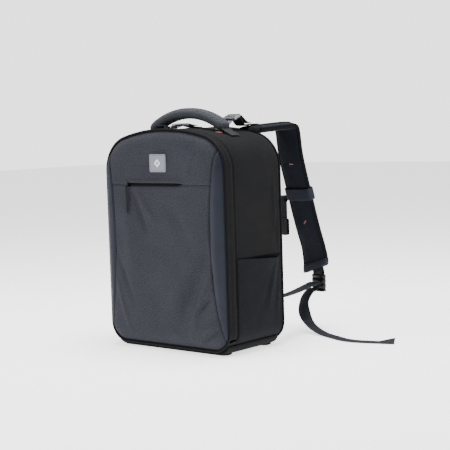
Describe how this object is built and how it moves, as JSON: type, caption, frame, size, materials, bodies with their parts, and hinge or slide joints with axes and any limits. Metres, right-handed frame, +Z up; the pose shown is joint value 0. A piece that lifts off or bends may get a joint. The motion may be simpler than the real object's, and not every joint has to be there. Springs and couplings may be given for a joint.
{
  "type": "drone carrying case",
  "caption": "Backpack-style padded carrying case with a zipped clamshell front, foam wells inside, side pockets, a carry handle and padded shoulder straps.",
  "frame": {"origin": "on the floor, at the middle of the sole", "axes": "+Z up, -Y out of the zipped front, +Y towards the wearer, +X to the right when the front is faced"},
  "size_m": [0.5115, 0.4005, 0.4815],
  "materials": {
    "shell_cloth": "tightly woven polyester, matt",
    "inset_cloth": "smooth coated cloth, satin",
    "lining_cloth": "fine plain-weave lining",
    "dark_cloth": "black woven polyester",
    "air_mesh": "padded spacer mesh",
    "webbing_dark": "ribbed polyester webbing",
    "webbing_light": "ribbed polyester webbing, light grey",
    "piping_cord": "satin coated piping",
    "foam_block": "closed-cell foam, fine grain",
    "zip_tape": "coated zip tape with coil",
    "zip_metal": "painted zinc, satin",
    "pull_rubber": "moulded, matt",
    "badge_face": "moulded badge, satin",
    "badge_mark": "raised, satin",
    "buckle_dark": "moulded acetal, satin",
    "buckle_grey": "painted metal, satin",
    "sole_rubber": "moulded sole, matt",
    "board_plastic": "stiffening board"
  },
  "bodies": {
    "pack": {"gusset_shell": "shell_cloth", "gusset_liner": "lining_cloth", "base_sole": "sole_rubber", "back_panel": "dark_cloth", "back_board": "board_plastic", "back_piping": "piping_cord", "back_pad_left": "air_mesh", "back_pad_right": "air_mesh", "lumbar_pad": "air_mesh", "strap_yoke": "dark_cloth", "side_pocket_left": "shell_cloth", "side_pocket_right": "shell_cloth", "foam_upper": "foam_block", "foam_lower": "foam_block", "sleeve_panel": "lining_cloth", "retainer_straps": "webbing_dark", "zip_tape_body": "zip_tape", "handle_tabs": "webbing_dark", "lifter_anchors": "webbing_light", "lifter_locks": "buckle_grey", "lifter_straps": "webbing_dark", "strap_anchors": "webbing_dark"},
    "front_lid": {"front_panel": "shell_cloth", "inset_left": "inset_cloth", "inset_right": "inset_cloth", "front_piping": "piping_cord", "lid_band": "shell_cloth", "zip_tape_lid": "zip_tape", "lid_board": "lining_cloth", "lid_mesh_pocket": "air_mesh", "pocket_zip": "zip_tape", "badge_plate": "badge_face", "badge_emblem": "badge_mark"},
    "pocket_slide": {"pocket_slider": "zip_metal"},
    "pocket_puller": {"pocket_pull": "pull_rubber"},
    "main_slide_left": {"main_slider_left": "zip_metal"},
    "main_slide_right": {"main_slider_right": "zip_metal"},
    "main_puller_left": {"main_pull_left": "pull_rubber"},
    "main_puller_right": {"main_pull_right": "pull_rubber"},
    "handle": {"handle_grip": "air_mesh"},
    "strap_left": {"strap_pad_left": "dark_cloth", "strap_binding_left": "webbing_dark", "strap_rail_left": "webbing_dark", "strap_end_left": "dark_cloth", "ladder_lock_left": "buckle_dark", "lower_webbing_left": "webbing_dark", "webbing_tail_left": "webbing_dark"},
    "keeper_left": {"keeper_left": "inset_cloth"},
    "chest_strap_left": {"chest_webbing_left": "webbing_dark", "chest_buckle_left": "buckle_dark"},
    "strap_right": {"strap_pad_right": "dark_cloth", "strap_binding_right": "webbing_dark", "strap_rail_right": "webbing_dark", "strap_end_right": "dark_cloth", "ladder_lock_right": "buckle_dark", "lower_webbing_right": "webbing_dark", "webbing_tail_right": "webbing_dark"},
    "keeper_right": {"keeper_right": "inset_cloth"},
    "chest_strap_right": {"chest_webbing_right": "webbing_dark", "chest_buckle_right": "buckle_dark"}
  },
  "joints": [
    {"name": "lid_open", "type": "hinge", "parent": "pack", "child": "front_lid", "pos_m": [0, -0.0848, 0.0091], "axis": [1, 0, 0], "range_deg": [0, 80]},
    {"name": "pocket_zip_slide", "type": "slide", "parent": "front_lid", "child": "pocket_slide", "axis": [1, 0, 0], "range_m": [0, 0.195]},
    {"name": "pocket_pull_swing", "type": "hinge", "parent": "pocket_slide", "child": "pocket_puller", "pos_m": [-0.085, -0.1072, 0.331], "axis": [-1, 0, 0], "range_deg": [0, 120]},
    {"name": "handle_tilt", "type": "hinge", "parent": "pack", "child": "handle", "pos_m": [0, -0.005, 0.434], "axis": [1, 0, 0], "range_deg": [-8, 18]},
    {"name": "main_zip_slide_left", "type": "slide", "parent": "pack", "child": "main_slide_left", "axis": [-0.9969, 0, -0.0785], "range_m": [0, 0.045]},
    {"name": "main_pull_swing_left", "type": "hinge", "parent": "main_slide_left", "child": "main_puller_left", "pos_m": [-0.0121, -0.0602, 0.4473], "axis": [0, 1, 0], "range_deg": [0, 95]},
    {"name": "strap_swing_left", "type": "hinge", "parent": "pack", "child": "strap_left", "pos_m": [-0.07625, 0.09141, 0.433], "axis": [0.9903, 0.1392, 0], "range_deg": [0, 25]},
    {"name": "keeper_slide_left", "type": "slide", "parent": "strap_left", "child": "keeper_left", "axis": [-0.0558, 0.3974, -0.916], "range_m": [0, 0.056]},
    {"name": "chest_strap_swing_left", "type": "hinge", "parent": "keeper_left", "child": "chest_strap_left", "pos_m": [-0.04491, 0.21113, 0.288], "axis": [0.1392, -0.9903, 0], "range_deg": [0, 95]},
    {"name": "main_zip_slide_right", "type": "slide", "parent": "pack", "child": "main_slide_right", "axis": [0.9969, 0, -0.0785], "range_m": [0, 0.045]},
    {"name": "main_pull_swing_right", "type": "hinge", "parent": "main_slide_right", "child": "main_puller_right", "pos_m": [0.0121, -0.0602, 0.4473], "axis": [0, -1, 0], "range_deg": [0, 95]},
    {"name": "strap_swing_right", "type": "hinge", "parent": "pack", "child": "strap_right", "pos_m": [0.07625, 0.09141, 0.433], "axis": [0.9903, -0.1392, 0], "range_deg": [0, 25]},
    {"name": "keeper_slide_right", "type": "slide", "parent": "strap_right", "child": "keeper_right", "axis": [0.0401, 0.2851, -0.9577], "range_m": [-0.028, 0.028]},
    {"name": "chest_strap_swing_right", "type": "hinge", "parent": "keeper_right", "child": "chest_strap_right", "pos_m": [0.04893, 0.23971, 0.288], "axis": [0.1392, 0.9903, 0], "range_deg": [0, 95]}
  ]
}
